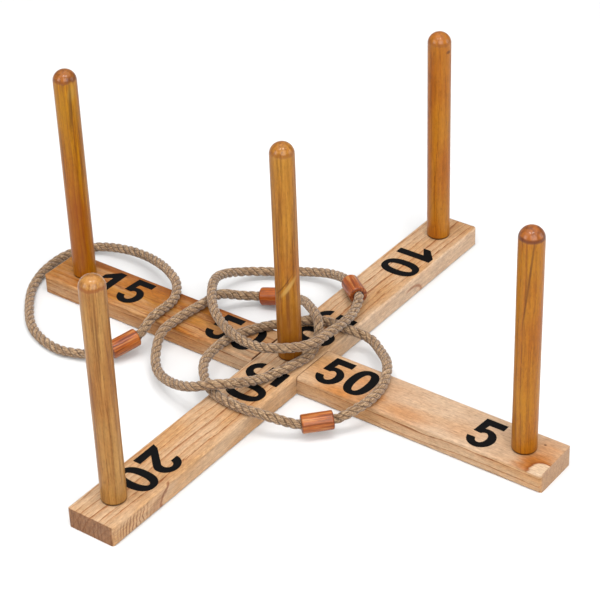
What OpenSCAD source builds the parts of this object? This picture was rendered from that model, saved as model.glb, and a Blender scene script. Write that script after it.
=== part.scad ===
// Ring toss set: two half-lapped wooden beams, five screw-in pegs and four jute rope rings.
// Origin on the ground under the middle of the crossing, +X towards the 5 peg, +Y towards the 10 peg, +Z up.

/* [Base] */
// Length of each beam
beam_l = 600; // [590:1:610]
// Width of each beam
beam_w = 54; // [52:0.5:56]
// Thickness of each beam
beam_t = 21; // [20:0.1:21]
// Radius along the beams' long edges
edge_r = 2.5; // [1:0.5:3]
// Radius of the beams' corners seen from above
corner_r = 4; // [1:0.5:5]
// Gap on each side of the half-lap joint
lap_gap = 0.2; // [0.1:0.1:0.5]

/* [Pegs] */
// Diameter of each peg
peg_d = 24; // [22:0.5:25]
// Height of each peg above the beams
peg_h = 238; // [200:1:260]
// Radius of each peg's domed top
dome_r = 11.5; // [8:0.5:11.5]
// Radius of each peg's foot edge
foot_r = 1.5; // [1:0.5:3]
// Distance from a beam's end to the axis of its peg
peg_inset = 34; // [30:1:40]

/* [Screws] */
// Diameter of the peg screws
screw_d = 7.8; // [7:0.1:7.8]
// Length of each screw inside its peg
screw_grip = 26; // [20:1:40]
// Length of each end peg's screw below its peg
screw_reach = 12; // [10:1:12]
// Bore of the threaded inserts
insert_bore = 8; // [8:0.1:8.4]
// Outer diameter of the threaded inserts
insert_d = 12; // [11:0.5:13]

/* [Rings] */
// Diameter of the jute rope
rope_d = 9.5; // [8:0.1:9.5]
// Sides of the plain rope tubes
rope_sides = 10; // [8:1:12]
// Outer diameter of the wooden ferrules
ferrule_d = 18.6; // [16:0.2:18.6]
// Length of the wooden ferrules
ferrule_l = 31; // [26:1:31]
// Bore of the wooden ferrules
ferrule_bore = 10; // [9.8:0.1:11]
// Radius of the ferrules' rounded ends
ferrule_r = 1.8; // [1:0.1:3]

/* [Hidden] */
$fn = 96;

half_t = beam_t / 2;
peg_reach = beam_l / 2 - peg_inset;
insert_h = screw_reach;
insert_sink = 0.5;
insert_fit = 0.05;
screw_fit = 0.1;
screw_tip = 1;
through_d = insert_bore + 1;
lap_insert_h = 7.5;
lap_screw_end = half_t - 7;
hole_spare = 1;

// The pegs' scores, their places and the height at which each one's screw ends.
scores = [5, 10, 15, 20, 50];
peg_places = [[peg_reach, 0], [0, peg_reach], [-peg_reach, 0], [0, -peg_reach], [0, 0]];
end_screw_z = beam_t - screw_reach;

// Each ring's ferrule: the place of its middle, the way it points seen from above, and its tilt.
ferrules = [
    [[-154, -71, 16], -110, -8],
    [[-5, 117, 31.7], -38, 5],
    [[-80, 83, 14], -160, -8],
    [[82, -69, 16.5], -135, -2],
];
// Each ring's rope, from its ferrule's front mouth round to its back mouth. Ring 1 lies over the
// 15 arm. Rings 4, 3 and 2 lie round the middle peg in that order, from the bottom of the heap up.
routes = [
    [
        [-180, -96, 8], [-209, -104, 6], [-237, -100, 5], [-263, -88, 5], [-289, -64, 5],
        [-313, -31, 5], [-324, 2, 5], [-323, 32, 6], [-306, 59, 8], [-272, 69, 12],
        [-232, 64, 18], [-190, 46, 25], [-167, 30, 26], [-152, 6, 26], [-150, -30, 26],
    ],
    [
        [20, 79, 33], [26, 50, 38], [27, 30, 41], [27, 9, 43], [22, -7, 44], [9, -18, 43],
        [-15, -27, 40], [-41, -25, 38], [-66, -16, 37], [-95, 2, 37], [-118, 27, 37],
        [-140, 66, 27], [-137, 105, 12], [-112, 127, 9], [-86, 142, 10], [-55, 145, 17],
    ],
    [
        [-111, 63, 15], [-120, 42, 24.8], [-122, 18, 26.5], [-127, -19, 26], [-126, -45, 25],
        [-116, -67, 16], [-97, -87, 15], [-67, -102, 22], [-38, -107, 32], [-20, -101, 38],
        [-3, -80, 34], [6, -51, 26], [15, -24, 26], [20, 5, 26], [14, 28, 31],
        [1, 45, 38.5], [-27, 67, 33], [-47, 83, 22],
    ],
    [
        [42, -98, 26], [10, -101, 26], [-20, -96, 26], [-47, -77, 25], [-61, -56, 25],
        [-63, -17, 26], [-52, 10, 26], [-38, 29, 26], [-19, 50, 26], [1, 61, 26],
        [29, 61, 26], [48, 67, 20], [71, 54, 20], [93, 32, 26], [106, 8, 26],
        [111, -16, 26], [109, -40, 26],
    ],
];
// Length of rope that runs straight out of a ferrule's mouth, and half the gap where its ends meet inside.
mouth_run = 1.5;
butt_gap = 0.5;

// A rectangle on the X axis with round corners, centred across.
module rounded_bar(w, h, r) {
    translate([-w / 2 + r, 0]) square([w - 2 * r, h]);
    translate([-w / 2, r]) square([w, h - 2 * r]);
    for (x = [-1, 1], y = [r, h - r]) translate([x * (w / 2 - r), y]) circle(r);
}

// A plain beam along X on the ground: its section and its outline seen from above, both rounded.
module beam_blank() {
    intersection() {
        translate([-beam_l / 2, 0, 0]) rotate([90, 0, 90]) linear_extrude(beam_l)
            rounded_bar(beam_w, beam_t, edge_r);
        translate([0, -beam_w / 2, -1]) linear_extrude(beam_t + 2) rounded_bar(beam_l, beam_w, corner_r);
    }
}

// A round hole down from height z.
module hole(at, z, d, depth) {
    translate([at[0], at[1], z - depth]) cylinder(d = d, h = depth + 1);
}

// The sockets for the two end pegs' threaded inserts, on a beam along X.
module end_sockets() {
    for (s = [-1, 1])
        hole([s * peg_reach, 0], beam_t, insert_d + 2 * insert_fit, insert_h + insert_sink + hole_spare);
}

// The half that a beam gives up where it crosses the other, as a block from z0 to z1.
module lap_cut(z0, z1) {
    w = beam_w + 2 * lap_gap;
    translate([-w / 2, -beam_w, z0]) cube([w, 2 * beam_w, z1 - z0]);
}

// Carries the 15 and 5 pegs and lies under the other beam where they cross.
module lower_beam() {
    color("burlywood") difference() {
        beam_blank();
        lap_cut(half_t, beam_t + 1);
        end_sockets();
        hole([0, 0], half_t, insert_d + 2 * insert_fit, lap_insert_h + insert_sink + 0.5);
    }
}

// Carries the 20 and 10 pegs and lies over the other beam where they cross.
module upper_beam() {
    color("burlywood") rotate([0, 0, 90]) difference() {
        beam_blank();
        lap_cut(-1, half_t);
        end_sockets();
        hole([0, 0], beam_t, through_d, beam_t + 1);
    }
}

// A turned peg with a domed top, a softened foot and a socket for its screw.
module peg(place) {
    r = peg_d / 2;
    color("peru") translate([place[0], place[1], beam_t]) rotate_extrude() difference() {
        union() {
            translate([0, foot_r]) square([r, peg_h - foot_r - dome_r]);
            square([r - foot_r, foot_r]);
            translate([r - foot_r, foot_r]) circle(foot_r);
            translate([0, peg_h - dome_r]) square([r - dome_r, dome_r]);
            translate([0, peg_h - dome_r]) intersection() {
                translate([r - dome_r, 0]) circle(dome_r);
                square(r);
            }
        }
        translate([-1, -1]) square([1 + screw_d / 2 + screw_fit, 2 + screw_grip]);
    }
}

// A double-ended screw from z up into its peg, with both tips chamfered.
module peg_screw(place, z) {
    r = screw_d / 2;
    top = beam_t + screw_grip - z;
    color("silver") translate([place[0], place[1], z]) rotate_extrude() polygon([
        [0, 0], [r - screw_tip, 0], [r, screw_tip], [r, top - screw_tip], [r - screw_tip, top], [0, top],
    ]);
}

// A threaded bush of height h, its rim just below z.
module thread_insert(place, z, h) {
    translate([place[0], place[1], z - insert_sink - h]) color("goldenrod") difference() {
        cylinder(d = insert_d, h = h);
        translate([0, 0, -1]) cylinder(d = insert_bore, h = h + 2);
    }
}

// The way a ferrule points.
function pointing(turn, tilt) = [cos(turn) * cos(tilt), sin(turn) * cos(tilt), sin(tilt)];
function unit(v) = v / norm(v);
// A ring's whole centreline: out of the ferrule, along the route and back in, where the ends meet.
function centreline(i) =
    let (at = ferrules[i][0], way = pointing(ferrules[i][1], ferrules[i][2]), out = ferrule_l / 2 + mouth_run)
    concat([at + butt_gap * way, at + out * way], routes[i], [at - out * way, at - butt_gap * way]);
// The direction of a line p at its point i.
function heading(p, i) = let (n = len(p) - 1)
    unit((i == 0 ? [0, 0, 0] : unit(p[i] - p[i - 1])) + (i == n ? [0, 0, 0] : unit(p[i + 1] - p[i])));
// Point k of n on a ring of radius r round point i of a line p.
function on_ring(p, i, k, n, r) =
    let (along = heading(p, i), side = unit(cross([0, 0, 1], along)), up = cross(along, side), a = 360 * k / n)
    p[i] + r * (cos(a) * side + sin(a) * up);

// A tube of n sides and radius r swept along the points p.
module tube(p, n, r) {
    rings = len(p);
    polyhedron(
        points = [for (i = [0:rings - 1], k = [0:n - 1]) on_ring(p, i, k, n, r)],
        faces = concat(
            [[for (k = [0:n - 1]) k]],
            [for (i = [0:rings - 2], k = [0:n - 1]) [i * n + k, (i + 1) * n + (k + 1) % n, i * n + (k + 1) % n]],
            [for (i = [0:rings - 2], k = [0:n - 1]) [i * n + k, (i + 1) * n + k, (i + 1) * n + (k + 1) % n]],
            [[for (k = [n - 1:-1:0]) (rings - 1) * n + k]]
        )
    );
}

// One ring's rope, a plain tube whose ends meet inside its ferrule.
module ring_rope(i) {
    color("tan") tube(centreline(i), rope_sides, rope_d / 2);
}

// One ring's wooden sleeve with rounded ends, glued over both ends of the rope.
module ring_ferrule(i) {
    r = ferrule_d / 2;
    color("sienna") translate(ferrules[i][0]) rotate([0, -ferrules[i][2], ferrules[i][1]]) rotate([0, 90, 0])
        translate([0, 0, -ferrule_l / 2]) rotate_extrude() intersection() {
            rounded_bar(ferrule_d, ferrule_l, ferrule_r);
            translate([ferrule_bore / 2, -1]) square([r, ferrule_l + 2]);
        }
}

lower_beam();
upper_beam();
for (i = [0:len(scores) - 1]) {
    middle = scores[i] == 50;
    peg(peg_places[i]);
    peg_screw(peg_places[i], middle ? lap_screw_end : end_screw_z);
    thread_insert(peg_places[i], middle ? half_t : beam_t, middle ? lap_insert_h : insert_h);
}
for (i = [0:len(routes) - 1]) {
    ring_rope(i);
    ring_ferrule(i);
}
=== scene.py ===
import math

import bpy
import numpy as np
from mathutils import Matrix, Vector
from mathutils.geometry import tessellate_polygon


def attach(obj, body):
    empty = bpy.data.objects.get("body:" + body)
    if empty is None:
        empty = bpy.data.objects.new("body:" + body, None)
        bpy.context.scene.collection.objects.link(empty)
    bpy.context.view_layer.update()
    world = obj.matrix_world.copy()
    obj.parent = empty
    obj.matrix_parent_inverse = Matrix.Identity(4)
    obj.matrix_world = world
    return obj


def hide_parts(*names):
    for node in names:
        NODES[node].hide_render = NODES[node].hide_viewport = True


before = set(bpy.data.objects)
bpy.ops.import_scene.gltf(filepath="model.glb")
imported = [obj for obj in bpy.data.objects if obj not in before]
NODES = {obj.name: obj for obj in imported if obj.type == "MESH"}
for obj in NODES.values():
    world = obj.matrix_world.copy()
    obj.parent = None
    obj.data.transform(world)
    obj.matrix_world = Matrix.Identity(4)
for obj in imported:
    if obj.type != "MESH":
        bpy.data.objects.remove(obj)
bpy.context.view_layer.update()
MM = 0.001

# Sizes that the CAD source states, in millimetres, and where each peg stands, by its score.
BEAM_L, BEAM_T = 600.0, 21.0
PEG_H, DOME_H = 238.0, 11.5
ROPE_D, FERRULE_L = 9.5, 31.0
PEG_PLACES = {5: (266, 0), 10: (0, 266), 15: (-266, 0), 20: (0, -266), 50: (0, 0)}


# ---------------------------------------------------------------- camera

# The camera's azimuth from -Y towards +X, its elevation and its roll, in degrees.
CAMERA_ANGLES = (37.3407, 33.7672, -2.1865)
# The point that the camera looks at and its distance from there, in millimetres, and its lens and sensor.
CAMERA_TARGET, CAMERA_DISTANCE = (6.896, 10.018, 82.418), 1994.872
CAMERA_LENS, CAMERA_SENSOR = 124.0608, 36.0


def add_camera():
    azimuth, elevation, roll = (math.radians(a) for a in CAMERA_ANGLES)
    target, distance = Vector(CAMERA_TARGET) * MM, CAMERA_DISTANCE * MM
    out = math.cos(elevation)
    back = Vector((math.sin(azimuth) * out, -math.cos(azimuth) * out, math.sin(elevation)))
    level = Vector((math.cos(azimuth), math.sin(azimuth), 0))
    rise = level.cross(-back)
    right = math.cos(roll) * level + math.sin(roll) * rise
    up = -math.sin(roll) * level + math.cos(roll) * rise
    data = bpy.data.cameras.new("camera")
    data.lens, data.sensor_width = CAMERA_LENS, CAMERA_SENSOR
    camera = bpy.data.objects.new("camera", data)
    bpy.context.scene.collection.objects.link(camera)
    turn = Matrix((right, up, back)).transposed().to_4x4()
    camera.matrix_world = Matrix.Translation(target + back * distance) @ turn
    bpy.context.scene.camera = camera


add_camera()


# ---------------------------------------------------------------- material graphs

class Graph:
    """A material whose nodes are made by short calls."""

    def __init__(self, name):
        self.material = bpy.data.materials.new(name)
        self.material.use_nodes = True
        self.tree = self.material.node_tree
        self.tree.nodes.clear()
        self.shader = self.add("ShaderNodeBsdfPrincipled")
        out = self.add("ShaderNodeOutputMaterial")
        self.tree.links.new(self.shader.outputs[0], out.inputs["Surface"])

    def add(self, kind, **settings):
        node = self.tree.nodes.new(kind)
        for key, value in settings.items():
            setattr(node, key, value)
        return node

    def put(self, socket, value):
        """Link a socket to another one, or give it a number or a list of numbers."""
        if isinstance(value, bpy.types.NodeSocket):
            self.tree.links.new(value, socket)
        elif isinstance(value, (int, float)):
            socket.default_value = value
        else:
            size = len(socket.default_value)
            socket.default_value = tuple(value) + (1.0,) * (size - len(value))

    def set(self, **values):
        """Put values into the shader's sockets."""
        for key, value in values.items():
            self.put(self.shader.inputs[key.replace("_", " ")], value)

    def math(self, kind, *terms):
        node = self.add("ShaderNodeMath", operation=kind)
        for socket, term in zip(node.inputs, terms):
            self.put(socket, term)
        return node.outputs[0]

    def product(self, value, *factors):
        for factor in factors:
            value = self.math("MULTIPLY", value, factor)
        return value

    def length(self, x, y):
        return self.math("SQRT", self.math("ADD", self.product(x, x), self.product(y, y)))

    def dot(self, a, b):
        node = self.add("ShaderNodeVectorMath", operation="DOT_PRODUCT")
        self.put(node.inputs[0], a)
        self.put(node.inputs[1], b)
        return node.outputs["Value"]

    def vector(self, x, y, z):
        node = self.add("ShaderNodeCombineXYZ")
        for socket, value in zip(node.inputs, (x, y, z)):
            self.put(socket, value)
        return node.outputs[0]

    def noise(self, vector, scale=1.0, detail=2.0, rough=0.5, distortion=0.0):
        node = self.add("ShaderNodeTexNoise")
        self.put(node.inputs["Vector"], vector)
        node.inputs["Scale"].default_value = scale
        node.inputs["Detail"].default_value = detail
        node.inputs["Roughness"].default_value = rough
        node.inputs["Distortion"].default_value = distortion
        return node.outputs[0]

    def random(self, value):
        """A number from 0 to 1 that differs from one value to the next."""
        node = self.add("ShaderNodeTexWhiteNoise", noise_dimensions="1D")
        self.put(node.inputs["W"], value)
        return node.outputs[0]

    def ramp(self, value, stops):
        """Levels between the stops, each given as its place and its level."""
        node = self.add("ShaderNodeValToRGB")
        self.put(node.inputs[0], value)
        elements = node.color_ramp.elements
        while len(elements) < len(stops):
            elements.new(0.5)
        for element, (place, level) in zip(elements, stops):
            element.position = place
            element.color = (level, level, level, 1)
        return node.outputs[0]

    def step(self, value, low, high, out_low=0.0, out_high=1.0):
        """out_low where value is at low or beyond, out_high at high or beyond, and smooth between them."""
        node = self.add("ShaderNodeMapRange", interpolation_type="SMOOTHSTEP")
        for socket, term in zip(node.inputs, (value, low, high, out_low, out_high)):
            self.put(socket, term)
        return node.outputs[0]

    def mix(self, factor, a, b, kind="MIX"):
        node = self.add("ShaderNodeMix", data_type="RGBA", blend_type=kind)
        for key, value in ((0, factor), (6, a), (7, b)):
            self.put(node.inputs[key], value)
        return node.outputs[2]

    def stain(self, colour, mask, share, stain):
        """Colour with a share of a stain, given as 0 to 255, where mask is 1."""
        return self.mix(self.product(mask, share), colour, linear(*stain))

    def bump(self, height, distance, strength):
        node = self.add("ShaderNodeBump")
        self.put(node.inputs["Height"], height)
        node.inputs["Distance"].default_value = distance
        node.inputs["Strength"].default_value = strength
        return node.outputs[0]

    def place(self):
        """The place on the object, in metres."""
        return self.add("ShaderNodeTexCoord").outputs["Object"]

    def near(self, u, v, at, radii, soft):
        """1 inside an ellipse round at and 0 outside it, with an edge as wide as soft says."""
        du = self.math("DIVIDE", self.math("SUBTRACT", u, at[0]), radii[0])
        dv = self.math("DIVIDE", self.math("SUBTRACT", v, at[1]), radii[1])
        return self.step(self.length(du, dv), 1 + soft, 1 - soft)


# A surface's own colour is this share of the colour that it is seen to have, as the studio's light is strong.
SHARE = 0.48


def linear(r, g, b):
    """The surface colour that looks like r, g, b (0 to 255) in the studio's light."""
    return tuple(SHARE * ((c / 255 + 0.055) / 1.055) ** 2.4 for c in (r, g, b))


# ---------------------------------------------------------------- wood

def grain(g, axes, origin, pith, spacing, wander, seed):
    """
    The grain of a piece of wood that grew along axes[0]: its places u, v, w in millimetres, the dark line of
    each growth ring, the glow that leads up to that line, the fibres, the pores and the blotches.

    pith is where the heart of the tree lies, across the piece. The rings are spacing wide on average, and the
    heart moves from side to side by up to wander.
    """
    place = g.place()
    u, v, w = (
        g.math("MULTIPLY_ADD", g.dot(place, axis), 1000.0, -Vector(origin).dot(Vector(axis)))
        for axis in axes
    )

    def field(ku, kv, kw, shift, detail=2.0, rough=0.5):
        """Noise that changes ku, kv and kw times per millimetre."""
        spot = g.vector(
            g.math("MULTIPLY_ADD", u, ku, seed + shift),
            g.math("MULTIPLY_ADD", v, kv, seed * 0.7),
            g.math("MULTIPLY_ADD", w, kw, shift),
        )
        return g.noise(spot, 1.0, detail, rough)

    # Rings round a heart that wanders, shaken by the fibres and unevenly wide.
    v_off = g.math("MULTIPLY_ADD", field(0.006, 0.02, 0.02, 3.1), 2 * wander, -pith[0] - wander)
    w_off = g.math("MULTIPLY_ADD", field(0.005, 0.02, 0.02, 9.7), 2 * wander, -pith[1] - wander)
    radius = g.length(g.math("ADD", v, v_off), g.math("ADD", w, w_off))
    shake = g.math("MULTIPLY_ADD", field(0.03, 0.3, 0.3, 5.5, 4.0, 0.65), 0.8, -0.4)
    rings = g.math("ADD", g.math("DIVIDE", radius, spacing), shake)
    width = g.noise(g.vector(g.product(rings, 0.45), seed, 0.0), 1.0, 1.0)
    rings = g.math("ADD", rings, g.math("MULTIPLY_ADD", width, 1.6, -0.8))
    ring, part = g.math("FLOOR", rings), g.math("FRACT", rings)

    # Some rings are stronger than others, and each one fades here and there along the piece.
    fading = g.noise(g.vector(g.math("MULTIPLY_ADD", u, 0.012, seed), g.product(ring, 3.3), 0.0), 1.0, 2.0)
    strength = g.math("MULTIPLY_ADD", g.random(ring), 0.6, 0.4)
    strength = g.product(strength, g.step(fading, 0.25, 0.6, 0.4, 1.0))
    line = g.product(g.ramp(part, [(0.0, 0.0), (0.84, 0.0), (0.92, 1.0), (0.97, 1.0), (1.0, 0.0)]), strength)
    glow = g.ramp(part, [(0.0, 0.2), (0.05, 0.0), (0.35, 0.05), (0.75, 0.45), (0.93, 1.0), (1.0, 0.2)])
    glow = g.product(glow, g.math("MULTIPLY_ADD", strength, 0.7, 0.3))

    fine, coarse = field(0.05, 0.8, 0.8, 1.3, 4.0, 0.7), field(0.16, 0.42, 0.42, 6.3, 3.0, 0.75)
    fibres = g.math("ADD", g.math("MULTIPLY_ADD", fine, 0.9, -0.45), coarse)
    pores = g.step(field(0.16, 2.4, 2.4, 7.9, 2.0), 0.6, 0.72)
    blotch = field(0.014, 0.035, 0.035, 4.4, 2.0)
    return u, v, w, line, glow, fibres, pores, blotch


RELIEF = 0.00012  # depth of the wood's relief, in metres


def finish_wood(g, colour, line, fibres, pores, rough, coat, coat_rough):
    """Give the shader its colour, its varnish, and a relief of raised fibres and sunken pores."""
    height = g.math("ADD", g.product(fibres, 0.5), g.product(pores, -0.6))
    height = g.math("MULTIPLY_ADD", line, 0.25, height)
    g.set(
        Base_Color=colour,
        Roughness=g.math("MULTIPLY_ADD", fibres, 0.2, rough - 0.1),
        IOR=1.5,
        Specular_IOR_Level=0.15,
        Coat_Weight=coat,
        Coat_Roughness=coat_rough,
        Normal=g.bump(height, RELIEF, 0.6),
    )


def shaded(g, colour, fibres, pores, amount, pore_colour, pore_share):
    """Colour with lighter and darker fibres and with short dark pores."""
    light = g.math("MULTIPLY_ADD", fibres, 2 * amount, 1 - amount)
    colour = g.mix(1.0, colour, g.vector(light, light, light), "MULTIPLY")
    return g.stain(colour, pores, pore_share, pore_colour)


def beam_material(name, axes, seed, pith, spacing, clarity, figure, end, ray):
    """Pale wood with growth rings as clear as clarity makes them, the beam's own figure, and darker ends."""
    g = Graph(name)
    u, v, w, line, glow, fibres, pores, blotch = grain(g, axes, (0, 0, 0), pith, spacing, 7.0, seed)
    clear = clarity(g, (u, v, w))
    line = g.product(line, clear)
    colour = g.mix(g.step(blotch, 0.35, 0.7), linear(240, 200, 158), linear(230, 176, 120))
    colour = g.stain(colour, g.product(glow, clear), 0.7, (212, 142, 82))
    colour = g.mix(line, colour, linear(158, 84, 34))
    colour = figure(g, u, v, w, colour)
    ends = g.step(g.math("ABSOLUTE", u), BEAM_L / 2 - 0.9, BEAM_L / 2 - 0.2)
    colour = g.stain(colour, ends, 0.8, end)
    rays = g.noise(g.vector(g.product(v, 0.6), g.product(w, 0.08), seed), 1.0, 2.0)
    colour = g.mix(g.product(ends, g.step(rays, 0.45, 0.65, 0.0, 0.5)), colour, linear(*ray))
    colour = shaded(g, colour, fibres, pores, 0.55, (158, 98, 52), 0.4)
    finish_wood(g, colour, line, fibres, pores, 0.45, 0.05, 0.3)
    return g.material


def lower_clarity(g, at):
    """How clear the growth rings are: faint on top of the 5 arm, full on the sides and the 15 arm."""
    u, _, w = at
    top = g.product(g.step(w, 18.0, 20.5), g.step(u, -20.0, 30.0))
    return g.math("MULTIPLY_ADD", top, -0.75, 0.9)


def upper_clarity(g, at):
    """How clear the growth rings are: hardly seen on the side that has the ripples."""
    return g.math("MULTIPLY_ADD", g.step(at[1], -24.0, -26.5), -0.8, 0.95)


# Orange blushes on top of the 5 arm: each one's middle along and across the arm, its radii and its strength.
BLUSHES = [
    ((93, 0), (48, 26), 0.3),
    ((56, -4), (11, 8), 0.3),
    ((83, -20), (20, 8), 0.7),
    ((94, 6), (10, 9), 0.35),
    ((116, -12), (8, 13), 0.7),
    ((158, -13), (24, 9), 0.5),
    ((213, -8), (16, 9), 0.25),
    ((293, 4), (15, 24), 0.45),
]


def lower_figure(g, u, v, w, colour):
    """Warm wood and a heart streak on the 15 arm, and blushes, a knot and a speck on the 5 arm."""
    ragged = g.noise(g.vector(g.product(u, 0.02), g.product(v, 0.12), g.product(w, 0.12)), 1.0, 3.0)
    top = g.step(w, 17.0, 20.5)

    warm = g.product(
        g.step(u, -30.0, -120.0), g.step(ragged, 0.3, 0.6, 0.55, 1.0), g.step(w, 15.0, 20.0, 0.6, 1.0),
    )
    colour = g.mix(warm, colour, g.mix(1.0, colour, (0.72, 0.45, 0.13), "MULTIPLY"))
    border = g.math("MULTIPLY_ADD", ragged, 14.0, g.math("MULTIPLY_ADD", g.step(u, -150.0, -120.0), -5.0, v))
    streak = g.product(g.step(border, 21.0, 27.0), g.step(u, -50.0, -80.0))
    colour = g.stain(colour, streak, 0.7, (158, 80, 20))

    colour = g.stain(colour, g.product(g.step(u, 40.0, 110.0), top), 0.3, (232, 206, 184))
    blush_u, blush_v = g.math("MULTIPLY_ADD", ragged, 16.0, u), g.math("MULTIPLY_ADD", ragged, 8.0, v)
    for at, radii, share in BLUSHES:
        blush = g.product(g.near(blush_u, blush_v, at, radii, 0.8), g.math("MULTIPLY_ADD", top, 0.8, 0.2))
        colour = g.stain(colour, blush, share, (222, 136, 44))

    knot_u, knot_v = g.math("MULTIPLY_ADD", ragged, 12.0, u), g.math("MULTIPLY_ADD", ragged, 20.0, v)
    heart = g.near(knot_u, knot_v, (303, -13), (13, 11), 0.12)
    bark = g.math("SUBTRACT", g.near(knot_u, knot_v, (303, -13), (15.5, 13.5), 0.15), heart)
    flare = g.product(g.near(knot_u, knot_v, (293, -7), (17, 15), 0.5), g.math("SUBTRACT", 1.0, heart))
    colour = g.stain(colour, g.product(flare, top), 0.85, (196, 112, 26))
    colour = g.stain(colour, g.product(bark, top), 0.85, (154, 74, 12))
    colour = g.stain(colour, g.product(heart, top), 0.85, (252, 220, 184))
    speck = g.near(u, v, (280, 14), (1.3, 1.1), 0.4)
    colour = g.stain(colour, speck, 0.8, (95, 50, 25))

    seam = g.product(g.step(g.math("ABSOLUTE", u), 28.2, 27.4), g.step(w, 11.0, 12.0))
    return g.stain(colour, seam, 0.8, (105, 52, 26))


def upper_figure(g, u, v, w, colour):
    """Ripples and a swirl on the side near the 20 end, and an arch on the side of the 10 arm."""
    waver = g.noise(g.vector(g.product(u, 0.05), g.product(v, 0.05), g.product(w, 0.09)), 1.0, 2.5)
    side = g.product(g.step(v, -24.5, -26.5), g.step(w, 20.0, 17.0))

    phase = g.math("MULTIPLY_ADD", waver, 13.0, g.product(w, -0.2))
    wave = g.math("SINE", g.math("MULTIPLY_ADD", u, 1.35, phase))
    ripple = g.product(
        g.step(wave, 0.1, 0.85), side, g.step(u, -232.0, -262.0), g.step(waver, 0.3, 0.6, 0.35, 1.0),
    )
    colour = g.stain(colour, ripple, 0.75, (150, 88, 46))

    slanting = g.math("ADD", u, g.math("MULTIPLY_ADD", w, -0.76, g.product(waver, 16.0)))
    away = g.math("ABSOLUTE", g.math("ADD", slanting, 230.0))
    swirl = g.product(g.step(away, 3.2, 0.5), g.step(v, -24.0, -26.0))
    colour = g.stain(colour, swirl, 0.75, (146, 70, 28))
    eye = g.product(g.near(slanting, w, (-238, 8), (9, 9), 0.6), side)
    colour = g.stain(colour, eye, 0.4, (168, 104, 62))

    pale = g.product(g.step(v, -24.5, -26.0), g.step(u, 20.0, 120.0))
    colour = g.stain(colour, pale, 0.55, (246, 214, 184))
    outer, inner = g.near(u, w, (174, 3), (19, 11), 0.12), g.near(u, w, (172, 1.5), (18, 10), 0.12)
    arch = g.product(g.math("SUBTRACT", outer, inner), g.step(v, -25.0, -26.5), g.step(u, 160.0, 168.0))
    return g.stain(colour, arch, 0.75, (176, 100, 54))


# Each peg's look, by its score. tone is the colour of the wood, seed and pith are its grain's seed and heart,
# and streaky is how strong its streaks are. dome is how dark the dome is. band, wide, rag and band_colour are
# the strength, width, raggedness and colour of the stained band at the dome's foot. A mark has its middle
# (how far right of the peg's axis, and how high), its radii, its slope, its strength and its colour.
PEG_LOOKS = {
    5: dict(
        tone=(213, 142, 26), seed=61.0, pith=(-19, -9), streaky=0.35,
        dome=0.8, band=0.75, wide=2.6, rag=2.5, band_colour=(104, 46, 12),
        marks=[((-2, 215), (0.9, 45), 0.09, 0.6, (100, 48, 12))],
    ),
    10: dict(
        tone=(216, 141, 31), seed=74.0, pith=(14, 22), streaky=0.35,
        dome=0.15, band=0.4, wide=3.0, rag=6.0, band_colour=(150, 82, 24),
        marks=[((8.5, 241), (2.0, 1.8), 0.0, 0.7, (96, 42, 14))],
    ),
    15: dict(
        tone=(208, 142, 8), seed=83.0, pith=(-12, -20), streaky=0.8,
        dome=0.7, band=0.4, wide=3.0, rag=9.0, band_colour=(112, 52, 10),
        marks=[
            ((6, 238), (3.0, 9), 0.1, 0.6, (228, 174, 72)),
            ((4, 222), (1.6, 24), 0.05, 0.6, (92, 46, 10)),
            ((-2, 72), (14, 62), 0.0, 0.6, (172, 78, 6)),
        ],
    ),
    20: dict(
        tone=(207, 155, 84), seed=96.0, pith=(-10, -15), streaky=0.65,
        dome=0.0, band=0.7, wide=2.4, rag=4.0, band_colour=(164, 88, 28),
        marks=[
            ((1, 205), (0.8, 46), 0.01, 0.6, (116, 64, 24)),
            ((0, 258), (10, 2.6), 0.0, 0.5, (236, 168, 84)),
        ],
    ),
    50: dict(
        tone=(212, 148, 46), seed=105.0, pith=(16, -17), streaky=0.7,
        dome=0.2, band=0.5, wide=3.2, rag=7.0, band_colour=(158, 88, 22),
        marks=[
            ((1, 107), (2.4, 10), 0.65, 0.75, (238, 188, 100)),
            ((-3, 109), (0.8, 12), 0.65, 0.6, (110, 58, 16)),
            ((2, 50), (14, 36), 0.0, 0.6, (146, 74, 8)),
        ],
    ),
}
MARKED_SIDE = math.radians(37.0)  # the marks are on the pegs' side that faces this far from -Y towards +X
PEG_TOP = BEAM_T + PEG_H
DOME_FOOT = PEG_TOP - DOME_H


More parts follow.
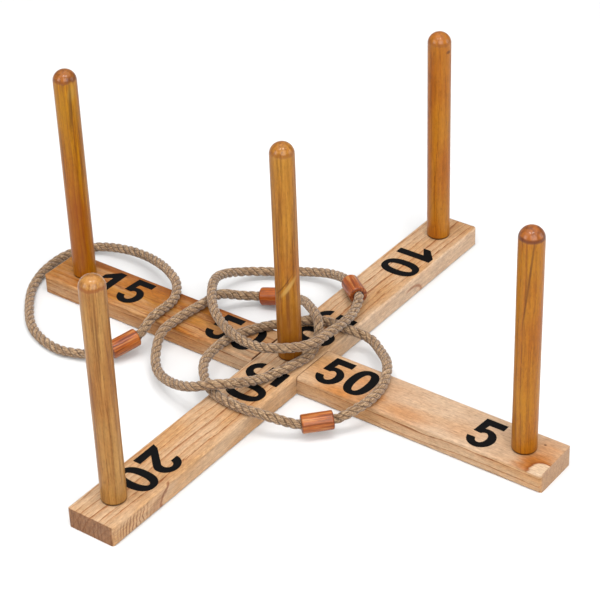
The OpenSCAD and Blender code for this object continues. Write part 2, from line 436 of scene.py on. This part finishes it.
def peg_material(score, tone, seed, pith, streaky, dome, band, wide, rag, band_colour, marks):
    """A varnished peg: its grain runs up it, and its domed end grain has drunk more varnish."""
    g = Graph(f"peg_{score}_wood")
    axes = ((0.012, 0.008, 1.0), (1, 0, 0), (0, 1, 0))  # the grain leans a little
    u, v, w, line, glow, fibres, pores, blotch = grain(g, axes, (*PEG_PLACES[score], 0), pith, 5.6, 4.5, seed)
    base = linear(*tone)
    warm = tuple(c * k for c, k in zip(base, (0.78, 0.5, 0.22)))
    colour = g.mix(g.step(blotch, 0.3, 0.7, 0.1, 0.75), base, warm)
    colour = g.mix(g.product(glow, 0.6), colour, warm)
    colour = g.stain(colour, line, 0.5, (108, 54, 14))
    streak_at = g.vector(g.math("MULTIPLY_ADD", u, 0.012, seed), g.product(v, 0.38), g.product(w, 0.38))
    streaks = g.noise(streak_at, 1.0, 4.0, 0.65)
    colour = g.mix(g.step(streaks, 0.5, 0.68, 0.0, streaky), colour, linear(128, 70, 18))
    colour = g.mix(g.step(streaks, 0.48, 0.34, 0.0, streaky * 0.8), colour, tuple(c * 1.25 for c in base))
    colour = shaded(g, colour, fibres, pores, 0.32, (110, 56, 16), 0.5)

    rightward = g.dot(g.vector(v, w, 0.0), (math.cos(MARKED_SIDE), math.sin(MARKED_SIDE), 0.0))
    forward = g.dot(g.vector(v, w, 0.0), (math.sin(MARKED_SIDE), -math.cos(MARKED_SIDE), 0.0))
    for at, radii, slope, share, mark in marks:
        leaning = g.math("MULTIPLY_ADD", u, -slope, rightward)
        spot = g.near(leaning, u, (at[0] - slope * at[1], at[1]), radii, 0.5)
        colour = g.stain(colour, g.product(spot, g.step(forward, 0.0, 3.0)), share, mark)

    ragged = g.noise(g.vector(g.product(v, 0.16), g.product(w, 0.16), seed), 1.0, 3.0)
    height = g.math("MULTIPLY_ADD", ragged, -rag, u)
    start = DOME_FOOT - rag / 2 + 0.5
    tint = g.mix(g.step(ragged, 0.42, 0.62), linear(188, 104, 40), linear(128, 58, 18))
    colour = g.mix(g.product(g.step(height, start - 0.5, start + 2.5), dome), colour, tint)
    ring = g.step(g.math("ABSOLUTE", g.math("SUBTRACT", height, start + wide - 0.4)), wide, wide * 0.25)
    colour = g.stain(colour, ring, band, band_colour)
    # Painted shadow: the lowest 1 to 3 mm of each peg are darkened to near black where it stands on the beam.
    colour = g.stain(colour, g.step(u, BEAM_T + 3.0, BEAM_T + 1.0), 0.9, (44, 18, 6))

    coat = g.math("MULTIPLY_ADD", g.step(u, DOME_FOOT - 3.0, PEG_TOP - 8.0), 0.25, 0.18)
    finish_wood(g, colour, line, fibres, pores, 0.4, coat, 0.14)
    return g.material


# The lighter and the darker colour of each ferrule's wood, and how strong its dark streaks are.
FERRULE_TONES = [
    ((222, 126, 46), (190, 88, 20), 0.7),
    ((204, 100, 24), (174, 70, 8), 0.7),
    ((214, 112, 26), (188, 82, 10), 0.25),
    ((230, 140, 58), (202, 98, 26), 0.6),
]


def ferrule_material(number, place, way, light, dark, streaky):
    """A ferrule turned from reddish wood, its grain along it."""
    g = Graph(f"ferrule_{number}_wood")
    side = Vector((0, 0, 1)).cross(way).normalized()
    axes = (way, side, way.cross(side))
    seed = 40.0 + 7 * number
    u, v, w, line, glow, fibres, pores, blotch = grain(g, axes, place, (13.0, 5.0), 2.8, 1.6, seed)
    colour = g.mix(g.step(blotch, 0.3, 0.7), linear(*light), linear(*dark))
    colour = g.stain(colour, glow, 0.5, (160, 76, 34))
    colour = g.stain(colour, line, streaky, (98, 38, 14))
    streak_at = g.vector(g.math("MULTIPLY_ADD", u, 0.03, number), g.product(v, 0.45), g.product(w, 0.45))
    streaks = g.noise(streak_at, 1.0, 2.0)
    colour = g.mix(g.step(streaks, 0.5, 0.64, 0.0, streaky), colour, linear(104, 44, 18))
    colour = g.mix(g.step(streaks, 0.47, 0.36, 0.0, 0.2 + streaky * 0.6), colour, linear(242, 168, 92))
    colour = shaded(g, colour, fibres, pores, 0.28, (92, 38, 14), 0.6)
    mouth = g.step(g.math("ABSOLUTE", u), FERRULE_L / 2 - 1.6, FERRULE_L / 2 - 0.2)
    colour = g.stain(colour, mouth, 0.5, (120, 56, 28))
    # Painted shade in the bore's mouth: each end face is darkened round the rope, out to a radius of about
    # 5.9 mm.
    colour = g.stain(colour, g.step(g.length(v, w), 5.9, 5.1), 0.85, (50, 24, 12))
    finish_wood(g, colour, line, fibres, pores, 0.4, 0.35, 0.2)
    return g.material


def metal_material(name, colour, rough, pitch):
    """Metal with the fine rings of a thread, pitch millimetres apart."""
    g = Graph(name)
    height = g.dot(g.place(), (0, 0, 1000.0))
    thread = g.math("SINE", g.product(height, 2 * math.pi / pitch))
    dirt = g.noise(g.place(), 900.0, 3.0)
    g.set(
        Base_Color=g.mix(g.step(dirt, 0.4, 0.8), colour, tuple(c * 0.6 for c in colour)),
        Metallic=1.0,
        Roughness=g.math("MULTIPLY_ADD", dirt, 0.3, rough),
        Normal=g.bump(thread, 0.0003, 0.8),
    )
    return g.material


def paint(node, material):
    """Give a node of the CAD this material and no other."""
    data = NODES[node].data
    data.materials.clear()
    data.materials.append(material)


# ---------------------------------------------------------------- rope rings

# Each ring's ferrule as in the CAD source: where its middle is, and its turn and its tilt, in degrees.
FERRULES = [
    ((-154, -71, 16), -110, -8),
    ((-5, 117, 31.7), -38, 5),
    ((-80, 83, 14), -160, -8),
    ((82, -69, 16.5), -135, -2),
]
# Each ring's route as in the CAD source, from its ferrule's front mouth round to its back mouth.
ROUTES = [
    [
        (-180, -96, 8), (-209, -104, 6), (-237, -100, 5), (-263, -88, 5), (-289, -64, 5),
        (-313, -31, 5), (-324, 2, 5), (-323, 32, 6), (-306, 59, 8), (-272, 69, 12),
        (-232, 64, 18), (-190, 46, 25), (-167, 30, 26), (-152, 6, 26), (-150, -30, 26),
    ],
    [
        (20, 79, 33), (26, 50, 38), (27, 30, 41), (27, 9, 43), (22, -7, 44), (9, -18, 43),
        (-15, -27, 40), (-41, -25, 38), (-66, -16, 37), (-95, 2, 37), (-118, 27, 37),
        (-140, 66, 27), (-137, 105, 12), (-112, 127, 9), (-86, 142, 10), (-55, 145, 17),
    ],
    [
        (-111, 63, 15), (-120, 42, 24.8), (-122, 18, 26.5), (-127, -19, 26), (-126, -45, 25),
        (-116, -67, 16), (-97, -87, 15), (-67, -102, 22), (-38, -107, 32), (-20, -101, 38),
        (-3, -80, 34), (6, -51, 26), (15, -24, 26), (20, 5, 26), (14, 28, 31),
        (1, 45, 38.5), (-27, 67, 33), (-47, 83, 22),
    ],
    [
        (42, -98, 26), (10, -101, 26), (-20, -96, 26), (-47, -77, 25), (-61, -56, 25),
        (-63, -17, 26), (-52, 10, 26), (-38, 29, 26), (-19, 50, 26), (1, 61, 26),
        (29, 61, 26), (48, 67, 20), (71, 54, 20), (93, 32, 26), (106, 8, 26),
        (111, -16, 26), (109, -40, 26),
    ],
]
# What each ring's rope measures along its middle, in metres.
ROPE_LENGTHS = [0.56, 0.55, 0.56, 0.545]
MOUTH_RUN = 1.5  # how far a rope runs straight on out of its ferrule
BUTT_GAP = 0.5  # from the ferrule's middle to each end of its rope
STEP = 1.0  # distance between a rope's sections
AROUND = 54  # points round a section
LAY = 25.0  # length in which a strand goes once round the rope
STRAND_R, STRAND_OUT = 3.35, 1.7  # a strand's radius, and how far its middle is from the rope's
YARNS, YARN_DEPTH = 17, 0.09  # fine yarns round a rope, and how far they stand out
# How far a rope's surface may pass half of ROPE_D, and how far short of that it stays inside its ferrule.
ROPE_OVER, ROPE_UNDER = 0.25, 0.05
GROUND = 0.05  # the lowest that a rope's surface goes
FIBRES = 420  # loose fibres tried on each rope; those that would come too near the ground are left out
FIBRE_R, FIBRE_POINTS = 0.055, 6  # a fibre's radius where it leaves the rope, and the points along it
FIBRE_CORNERS = (0, 2.094, 4.189)  # where its three corners are, in radians
FIBRE_START, FIBRE_GROUND = 3.9, 0.4  # how far from the rope's middle it leaves, and the lowest it goes


def pointing(turn, tilt):
    """The direction turned and tilted by so many degrees from +X."""
    turn, tilt = math.radians(turn), math.radians(tilt)
    return Vector((math.cos(turn) * math.cos(tilt), math.sin(turn) * math.cos(tilt), math.sin(tilt)))


def spaced(line):
    """The same line with its points evenly spaced, about STEP apart."""
    along = np.concatenate([[0], np.cumsum(np.linalg.norm(np.diff(line, axis=0), axis=1))])
    at = np.linspace(0, along[-1], int(round(along[-1] / STEP)) + 1)
    return np.stack([np.interp(at, along, line[:, k]) for k in range(3)], axis=1)


def bell(reach, width):
    """Weights that fall off to both sides of the middle one."""
    return np.exp(-0.5 * (np.arange(-reach, reach + 1) / width) ** 2)


def smooth_line(points):
    """A smooth curve through the points, a centripetal spline, with its corners eased."""
    p = np.array(points, float)
    p = np.vstack([2 * p[0] - p[1], p, 2 * p[-1] - p[-2]])
    out = []
    for a, b, c, d in zip(p, p[1:], p[2:], p[3:]):
        t0 = 0.0
        t1 = t0 + np.linalg.norm(b - a) ** 0.5
        t2 = t1 + np.linalg.norm(c - b) ** 0.5
        t3 = t2 + np.linalg.norm(d - c) ** 0.5
        t = np.linspace(t1, t2, 24, endpoint=False)[:, None]
        ab = (t1 - t) / (t1 - t0) * a + (t - t0) / (t1 - t0) * b
        bc = (t2 - t) / (t2 - t1) * b + (t - t1) / (t2 - t1) * c
        cd = (t3 - t) / (t3 - t2) * c + (t - t2) / (t3 - t2) * d
        abc = (t2 - t) / (t2 - t0) * ab + (t - t0) / (t2 - t0) * bc
        bcd = (t3 - t) / (t3 - t1) * bc + (t - t1) / (t3 - t1) * cd
        out.append((t2 - t) / (t2 - t1) * abc + (t - t1) / (t2 - t1) * bcd)
    line = spaced(np.vstack([*out, p[-2]]))
    reach = 6
    weights = bell(reach, 2.5)
    weights /= weights.sum()
    padded = np.vstack([2 * line[0] - line[reach:0:-1], line, 2 * line[-1] - line[-2:-reach - 2:-1]])
    line = np.stack([np.convolve(padded[:, k], weights, "valid") for k in range(3)], axis=1)
    return spaced(line)


def ring_line(place, turn, tilt, route):
    """The middle line of a ring's rope, whose two ends meet in its ferrule."""
    at, way = Vector(place), pointing(turn, tilt)
    out = FERRULE_L / 2 + MOUTH_RUN
    start = [at + BUTT_GAP * way, at + out / 2 * way, at + out * way]
    end = [at - out * way, at - out / 2 * way, at - BUTT_GAP * way]
    return smooth_line([*start, *route, *end])


def frames(line):
    """The direction of a line at each point, and two more across it that don't twist."""
    along = np.gradient(line, axis=0)
    along /= np.linalg.norm(along, axis=1)[:, None]
    side = np.cross((0, 0, 1), along[0])
    sides = []
    for direction in along:
        side = side - (side @ direction) * direction
        side /= np.linalg.norm(side)
        sides.append(side)
    sides = np.array(sides)
    return along, sides, np.cross(along, sides)


def uneven(rng, rows, columns, smoothness):
    """Smooth random numbers from about -1 to 1 on a sheet that closes round its columns."""
    field = rng.standard_normal((rows, columns))
    for axis, width in enumerate(smoothness):
        reach = int(3 * width) + 1
        weights = bell(reach, width)
        total = sum(k * np.roll(field, i, axis) for i, k in zip(range(-reach, reach + 1), weights))
        field = total / np.sqrt((weights**2).sum())
    return np.clip(field / 2, -1, 1)


def add_mesh(name, points, faces, materials):
    data = bpy.data.meshes.new(name)
    data.from_pydata(np.asarray(points).tolist(), [], faces)
    for material in materials:
        data.materials.append(material)
    data.update()
    obj = bpy.data.objects.new(name, data)
    bpy.context.scene.collection.objects.link(obj)
    return obj


def tube_faces(rings, around, start=0):
    """The faces of a tube with flat ends, whose points are numbered from start and go round ring by ring."""
    faces = []
    for i in range(rings - 1):
        for k in range(around):
            a, b = start + i * around + k, start + i * around + (k + 1) % around
            faces.append((a, b, b + around, a + around))
    faces.append(tuple(range(start + around - 1, start - 1, -1)))
    faces.append(tuple(range(start + (rings - 1) * around, start + rings * around)))
    return faces


def add_attribute(obj, name, kind, key, values):
    """Store a value for each point of a mesh, for its material to read."""
    data = obj.data.attributes.new(name, kind, "POINT")
    data.data.foreach_set(key, values.reshape(-1).astype(np.float32))


def add_rope(name, line, sides, ups, rng, material):
    """Three laid strands along the line, each with its fine yarns."""
    count = len(line)
    s = np.arange(count) * STEP
    lay = 2 * math.pi * s / LAY + 0.5 * uneven(rng, count, 1, (20, 0.5))[:, 0]
    own = 2 * math.pi * np.arange(AROUND) / AROUND
    angle = own[None, :] + lay[:, None]

    # A section of three round strands: the crown of each one is at 1, and the grooves between them are at 0.
    off = (own + math.pi / 3) % (2 * math.pi / 3) - math.pi / 3
    lobe = STRAND_OUT * np.cos(off) + np.sqrt(STRAND_R**2 - (STRAND_OUT * np.sin(off)) ** 2)
    crown = (lobe - lobe.min()) / (lobe.max() - lobe.min())

    # The yarns, then lumps, then places where the whole rope is a little thicker or thinner.
    yarn = np.cos(YARNS * angle + 2.5 * uneven(rng, count, AROUND, (9, 3)))
    radius = lobe[None, :] + YARN_DEPTH * yarn * (0.35 + crown[None, :])
    radius += 0.2 * uneven(rng, count, AROUND, (4, 2.5)) + 0.15 * uneven(rng, count, 1, (12, 0.5))
    radius = np.minimum(radius, ROPE_D / 2 + ROPE_OVER)
    inside = np.abs(s - s.mean()) > s.mean() - FERRULE_L / 2
    radius[inside] = np.minimum(radius[inside], ROPE_D / 2 - ROPE_UNDER)

    across = np.cos(angle)[..., None] * sides[:, None] + np.sin(angle)[..., None] * ups[:, None]
    points = line[:, None] + radius[..., None] * across
    points[..., 2] = np.maximum(points[..., 2], GROUND)
    rope = add_mesh(name, points.reshape(-1, 3) * MM, tube_faces(count, AROUND), [material])
    rope.data.polygons.foreach_set("use_smooth", [True] * len(rope.data.polygons))
    lengths = np.broadcast_to(s[:, None], angle.shape)
    straight = np.stack([lengths, radius * np.cos(angle), radius * np.sin(angle)], axis=-1)
    add_attribute(rope, "straight", "FLOAT_VECTOR", "vector", straight)
    add_attribute(rope, "crown", "FLOAT", "value", np.broadcast_to(crown, angle.shape))
    return rope


def add_fibres(name, line, along, sides, ups, rng, material):
    """Loose fibres that stand out of the rope, each one a thin bent spike."""
    points, faces = [], []
    bends = np.linspace(0, 1, FIBRE_POINTS)
    thin = FIBRE_R * (1 - 0.7 * bends)
    for _ in range(FIBRES):
        i = int(rng.integers(20, len(line) - 20))
        angle = rng.uniform(0, 2 * math.pi)
        out = math.cos(angle) * sides[i] + math.sin(angle) * ups[i]
        turn = np.cross(along[i], out)
        lean = rng.choice([-1, 1]) * rng.uniform(0.5, 1.6)
        long = rng.uniform(3, 9)
        rise = rng.uniform(0.5, 2.6)
        curl = rng.uniform(-1, 1)
        path = (
            line[i]
            + np.outer(FIBRE_START + rise * np.sin(bends * rng.uniform(1.2, 2.6)), out)
            + np.outer(bends * long * lean / 2, along[i])
            + np.outer(curl * long * 0.3 * bends**2, turn)
        )
        if path[:, 2].min() < FIBRE_GROUND:
            continue
        section = np.array([out * math.cos(t) - turn * math.sin(t) for t in FIBRE_CORNERS])
        faces += tube_faces(FIBRE_POINTS, 3, 3 * FIBRE_POINTS * len(points))
        points.append((path[:, None] + thin[:, None, None] * section[None]).reshape(-1, 3))
    return add_mesh(name, np.vstack(points) * MM, faces, [material])


def add_ring(number, ferrule, route, rope_look, fibre_look):
    """A ring's rope, in the place of the CAD's, and its loose fibres."""
    ring = f"ring_{number}"
    line = ring_line(*ferrule, route)
    along, sides, ups = frames(line)
    rng = np.random.default_rng(99 + number)
    rope = add_rope(f"{ring}_rope", line, sides, ups, rng, rope_look)
    fibres = add_fibres(f"{ring}_fibres", line, along, sides, ups, rng, fibre_look)
    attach(rope, ring)
    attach(fibres, ring)
    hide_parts(f"ring_rope_{number}")


def rope_material():
    """Jute: fibres that follow the strands, and painted shade in the grooves between them."""
    g = Graph("jute_rope")
    straight = g.add("ShaderNodeAttribute", attribute_name="straight").outputs["Vector"]
    crown = g.add("ShaderNodeAttribute", attribute_name="crown").outputs["Fac"]

    def stretched(scale):
        node = g.add("ShaderNodeMapping")
        g.put(node.inputs["Vector"], straight)
        node.inputs["Scale"].default_value = scale
        return node.outputs[0]

    along = stretched((0.12, 0.9, 0.9))
    fibres = g.noise(stretched((0.25, 2.2, 2.2)), 1.0, 4.0, 0.65, 0.6)
    streaks = g.noise(along, 1.0, 2.0)
    tone = g.noise(straight, 0.08, 2.0)
    fleck = g.step(g.noise(along, 1.7, 3.0), 0.58, 0.66)
    colour = g.mix(g.step(streaks, 0.3, 0.7), linear(228, 191, 148), linear(126, 88, 56))
    colour = g.mix(g.step(tone, 0.35, 0.7, 0.0, 0.4), colour, linear(176, 140, 106))
    light = g.math("MULTIPLY_ADD", fibres, 3.4, -0.68)
    colour = g.mix(1.0, colour, g.vector(light, light, light), "MULTIPLY")
    # Painted shade: the grooves between the strands are darkened towards deep brown, less towards each
    # strand's crown.
    colour = g.mix(g.step(crown, 0.5, 0.0, 0.0, 0.75), colour, linear(72, 46, 30))
    colour = g.stain(colour, fleck, 0.75, (76, 48, 30))
    g.set(
        Base_Color=colour,
        Roughness=g.math("MULTIPLY_ADD", fibres, 0.15, 0.75),
        Specular_IOR_Level=0.2,
        Sheen_Weight=0.25,
        Sheen_Roughness=0.5,
        Normal=g.bump(g.math("MULTIPLY_ADD", streaks, 0.5, fibres), 0.0005, 0.8),
    )
    return g.material


def fibre_material():
    g = Graph("jute_fibres")
    tone = g.noise(g.place(), 60.0, 1.0)
    g.set(Base_Color=g.mix(tone, linear(208, 180, 144), linear(156, 122, 88)), Roughness=0.8)
    return g.material


# ---------------------------------------------------------------- printed scores

def arc(cx, cy, rx, ry, start, end, steps=28, power=2.0):
    """Points along an ellipse, or a squarer one when power is over 2, from start to end in degrees."""
    out = []
    for i in range(steps + 1):
        t = math.radians(start + (end - start) * i / steps)
        c, s = (math.copysign(abs(k) ** (2 / power), k) for k in (math.cos(t), math.sin(t)))
        out.append((cx + rx * c, cy + ry * s))
    return out


# Each numeral's outlines in millimetres from its lower left corner: the outer one, then any hole.
DIGITS = {
    "0": [arc(14.2, 21, 14.2, 21, 0, 360, 72, 2.35)[:-1], arc(14.2, 21, 5.1, 14.2, 360, 0, 60, 2.2)[:-1]],
    "1": [[(11.6, 0), (20.8, 0), (20.8, 40.9), (12.9, 40.9), (0, 29.6), (0.2, 21.0), (11.6, 28.2)]],
    "2": [
        [(0, 0), (30, 0), (30, 8.7), (14.4, 8.7), (25.2, 19.6)]
        + arc(15.4, 28.6, 14, 13.1, -22, 180)
        + arc(15.6, 28.8, 5.1, 5.8, 180, -38)
        + [(2.2, 6.4)]
    ],
    "5": [
        [(2.1, 20.4), (3.9, 42.6), (26.9, 42.6), (26.9, 34.0), (11.5, 34.0)]
        + arc(14.6, 14.4, 14, 14.4, 107, -172, 44)
        + arc(14.4, 14.9, 5.3, 7.7, -162, 138, 40)
    ],
}
# The numerals on each beam, and how far along and across the beam each one's lower left corner is.
SCORES = {
    "lower_beam": [
        ("1", -247, -19.5), ("5", -214.5, -20.3), ("5", -98, -20.7), ("0", -65, -21),
        ("5", 38, -21.5), ("0", 70.5, -21.2), ("5", 211, -23.6),
    ],
    "upper_beam": [
        ("1", -234, -18.5), ("0", -204, -18.8), ("5", -86.5, -19.5), ("0", -53.5, -19.5),
        ("5", 24.3, -21.8), ("0", 57.5, -21.2), ("2", 185.5, -20.6), ("0", 219.5, -21.2),
    ],
}
INK = 0.05  # how far the ink stands out of the wood, and how far it goes in


def ink_material():
    g = Graph("score_ink")
    place = g.place()
    speckle = g.noise(place, 1500.0, 3.0, 0.7)
    worn = g.step(g.noise(place, 90.0, 2.0), 0.4, 0.8, 0.0, 0.3)
    colour = g.mix(g.step(speckle, 0.45, 0.75), linear(4, 4, 6), linear(18, 17, 19))
    g.set(
        Base_Color=g.mix(worn, colour, linear(24, 20, 19)),
        Roughness=g.math("MULTIPLY_ADD", speckle, 0.25, 0.5),
        Specular_IOR_Level=0.08,
        Normal=g.bump(speckle, 0.0001, 0.5),
    )
    return g.material


def add_scores(beam, material):
    """A beam's numerals, each one a thin plate with a top, a bottom and walls, half sunk into the wood."""
    points, faces = [], []
    for digit, along, across in SCORES[beam]:
        outlines = DIGITS[digit]
        flat = [p for outline in outlines for p in outline]
        base, n = len(points), len(flat)

        # The lower beam reads along +X, and the upper one along -Y.
        for z in (BEAM_T - INK, BEAM_T + INK):
            for x, y in flat:
                a, b = along + x, across + y
                points.append((a, b, z) if beam == "lower_beam" else (b, -a, z))

        for t in tessellate_polygon([[Vector((x, y, 0)) for x, y in outline] for outline in outlines]):
            (ax, ay), (bx, by), (cx, cy) = (flat[i] for i in t)
            a, b, c = t if (bx - ax) * (cy - ay) - (by - ay) * (cx - ax) > 0 else t[::-1]
            faces += [(base + n + a, base + n + b, base + n + c), (base + c, base + b, base + a)]

        # The walls, which face away from the ink whichever way their outline goes round.
        start = base
        for outline in outlines:
            m = len(outline)
            area = sum(x0 * y1 - x1 * y0 for (x0, y0), (x1, y1) in zip(outline, outline[1:] + outline[:1]))
            hole = outline is not outlines[0]
            for i in range(m):
                p, q = start + i, start + (i + 1) % m
                faces.append((p, q, q + n, p + n) if (area > 0) != hole else (q, p, p + n, q + n))
            start += m
    obj = add_mesh(f"scores_on_{beam}", np.array(points) * MM, faces, [material])
    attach(obj, beam)


# ---------------------------------------------------------------- build

rope_look, fibre_look = rope_material(), fibre_material()
for number, (ferrule, route, length) in enumerate(zip(FERRULES, ROUTES, ROPE_LENGTHS), 1):
    add_ring(number, ferrule, route, rope_look, fibre_look)

paint("lower_beam", beam_material(
    "lower_beam_wood", ((1, 0, 0), (0, 1, 0), (0, 0, 1)), 12.0, (20.0, -60.0), 5.5,
    lower_clarity, lower_figure, end=(216, 172, 132), ray=(182, 132, 92),
))
paint("upper_beam", beam_material(
    "upper_beam_wood", ((0, 1, 0), (-1, 0, 0), (0, 0, 1)), 27.0, (-70.0, -50.0), 5.4,
    upper_clarity, upper_figure, end=(158, 102, 62), ray=(112, 64, 36),
))
steel = metal_material("zinc_plated_steel", (0.62, 0.62, 0.64), 0.25, 1.25)
brass = metal_material("brass", (0.72, 0.52, 0.22), 0.2, 1.5)
for score, look in PEG_LOOKS.items():
    paint(f"peg_{score}", peg_material(score, **look))
    paint(f"peg_screw_{score}", steel)
    paint(f"thread_insert_{score}", brass)
for number, ((place, turn, tilt), tones) in enumerate(zip(FERRULES, FERRULE_TONES), 1):
    paint(f"ring_ferrule_{number}", ferrule_material(number, place, pointing(turn, tilt), *tones))
ink = ink_material()
for beam in SCORES:
    add_scores(beam, ink)


# ---------------------------------------------------------------- studio

# The studio is in metres.
FLOOR_R = 8.0
CROSSING = (0, 0, 0.1)  # the point above the beams' crossing that most lights face
WINDOW_SIZE, WINDOW_POWER = (0.5, 0.3), 12
SKY_STRENGTH = 0.42


def add_floor():
    """A round floor of an even, pale grey, which the lights turn white."""
    g = Graph("floor")
    grey = g.mix(g.noise(g.place(), 3.0, 1.0), (0.63, 0.63, 0.63), (0.65, 0.65, 0.65))
    g.set(Base_Color=grey, Roughness=0.9, Specular_IOR_Level=0.1)
    turns = [math.radians(a) for a in range(0, 360, 5)]
    points = [(FLOOR_R * math.cos(a), FLOOR_R * math.sin(a), 0) for a in turns]
    floor = add_mesh("floor", points, [tuple(range(len(points)))], [g.material])


def add_light(name, place, aim, size, power):
    """A rectangular light of so many watts, at place and facing aim."""
    data = bpy.data.lights.new(name, "AREA")
    data.shape, data.size, data.size_y = "RECTANGLE", size[0], size[1]
    data.energy = power
    light = bpy.data.objects.new(name, data)
    bpy.context.scene.collection.objects.link(light)
    light.location = place
    light.rotation_euler = (Vector(aim) - Vector(place)).to_track_quat("-Z", "Y").to_euler()


def add_sky():
    world = bpy.data.worlds.new("studio")
    world.use_nodes = True
    background = world.node_tree.nodes["Background"]
    background.inputs["Color"].default_value = (1, 1, 1, 1)
    background.inputs["Strength"].default_value = SKY_STRENGTH
    bpy.context.scene.world = world


add_floor()
add_light("overhead", (0.2, 0.3, 4.5), (0.2, 0.3, 0), (7.0, 7.0), 205)
# Two small lights that show as spots on the domes.
add_light("window_1", (0.69, -0.17, 2.5), CROSSING, WINDOW_SIZE, WINDOW_POWER)
add_light("window_2", (-0.03, -0.71, 2.5), CROSSING, WINDOW_SIZE, WINDOW_POWER)
add_light("key", (1.9, -1.5, 1.75), CROSSING, (2.4, 2.0), 70)
add_light("left", (-1.2, -2.4, 1.5), CROSSING, (1.6, 1.6), 36)
add_light("right", (2.3, 1.6, 1.0), CROSSING, (1.4, 1.4), 20)
add_sky()
bpy.context.scene.view_settings.view_transform = "Standard"
